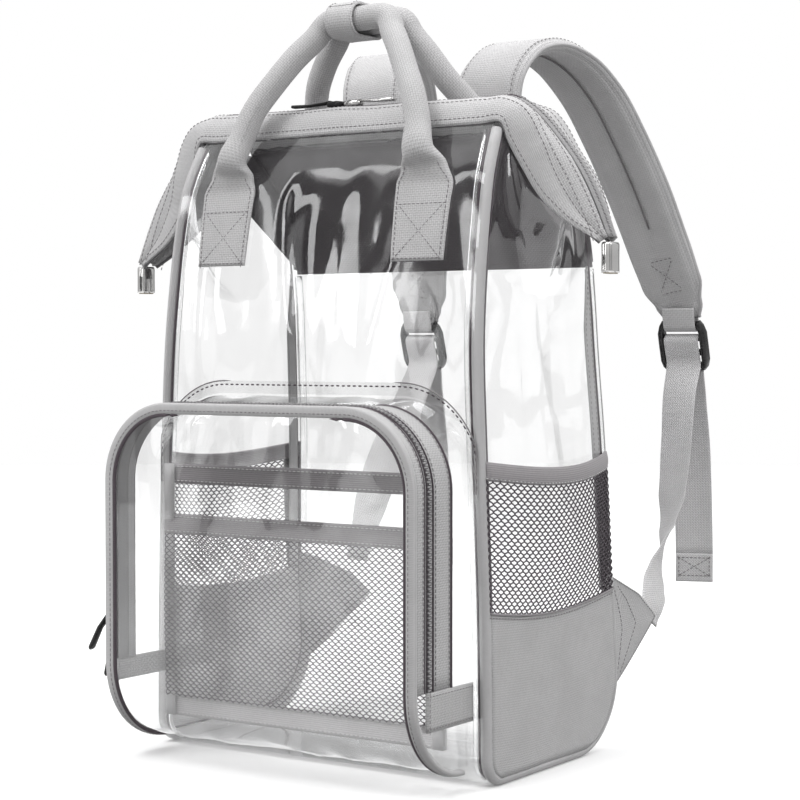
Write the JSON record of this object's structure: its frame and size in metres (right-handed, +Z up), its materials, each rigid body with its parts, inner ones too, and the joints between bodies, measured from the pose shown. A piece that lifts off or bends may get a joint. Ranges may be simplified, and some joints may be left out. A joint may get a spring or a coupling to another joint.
{
  "type": "clear backpack",
  "caption": "Tall clear backpack with fabric edges, wide zipped mouth, tube carry handles, clear front pocket, net side pockets and two padded shoulder straps.",
  "frame": {"origin": "middle of the flat underside of the base, between its left and right edges", "axes": "+X to the right as seen from the front, +Y to the back where the shoulder straps are, +Z up"},
  "size_m": [0.3748, 0.3904, 0.4887],
  "materials": {
    "clear_vinyl": "clear glossy vinyl sheet",
    "grey_fabric": "light grey woven polyester",
    "yoke_fabric": "grey woven lining",
    "grey_webbing": "grey ribbed webbing",
    "dark_elastic": "dark grey elastic and diamond net",
    "zip_teeth": "grey coil zip",
    "black_plastic": "satin black moulding",
    "chrome": "polished plate"
  },
  "bodies": {
    "root": {"back_binding_left": "grey_fabric", "back_binding_right": "grey_fabric", "back_handle": "grey_fabric", "back_panel": "clear_vinyl", "back_seam_left": "clear_vinyl", "back_seam_right": "clear_vinyl", "back_yoke": "yoke_fabric", "base_panel": "clear_vinyl", "front_handle": "grey_fabric", "front_panel": "clear_vinyl", "handle_wrap": "grey_fabric", "main_zip": "zip_teeth", "main_zip_slider_left": "black_plastic", "main_zip_slider_right": "chrome", "mouth_band_back": "grey_fabric", "mouth_band_front": "grey_fabric", "organiser_hem": "dark_elastic", "organiser_net": "dark_elastic", "organiser_net_band": "dark_elastic", "organiser_pocket": "clear_vinyl", "organiser_top_band": "dark_elastic", "pocket_binding": "grey_fabric", "pocket_face": "clear_vinyl", "pocket_flange": "clear_vinyl", "pocket_gusset": "clear_vinyl", "pocket_side_left": "clear_vinyl", "pocket_side_right": "clear_vinyl", "pocket_stop_tab_left": "grey_fabric", "pocket_stop_tab_right": "grey_fabric", "pocket_zip_front_tape": "grey_fabric", "pocket_zip_pull_lower": "black_plastic", "pocket_zip_pull_upper": "black_plastic", "pocket_zip_rear_tape": "grey_fabric", "pocket_zip_teeth": "zip_teeth", "shoulder_strap_left": "grey_fabric", "shoulder_strap_right": "grey_fabric", "side_base_left": "grey_fabric", "side_base_right": "grey_fabric", "side_net_band_left": "dark_elastic", "side_net_band_right": "dark_elastic", "side_net_left": "dark_elastic", "side_net_right": "dark_elastic", "side_panel_left": "clear_vinyl", "side_panel_right": "clear_vinyl", "side_piping_left": "grey_fabric", "side_piping_right": "grey_fabric", "strap_buckle_left": "black_plastic", "strap_buckle_right": "black_plastic", "strap_tab_left": "grey_fabric", "strap_tab_right": "grey_fabric", "strap_webbing_left": "grey_webbing", "strap_webbing_right": "grey_webbing", "webbing_tail_left": "grey_webbing", "webbing_tail_right": "grey_webbing", "zip_end_clip_left": "chrome", "zip_end_clip_right": "chrome"}
  },
  "joints": []
}
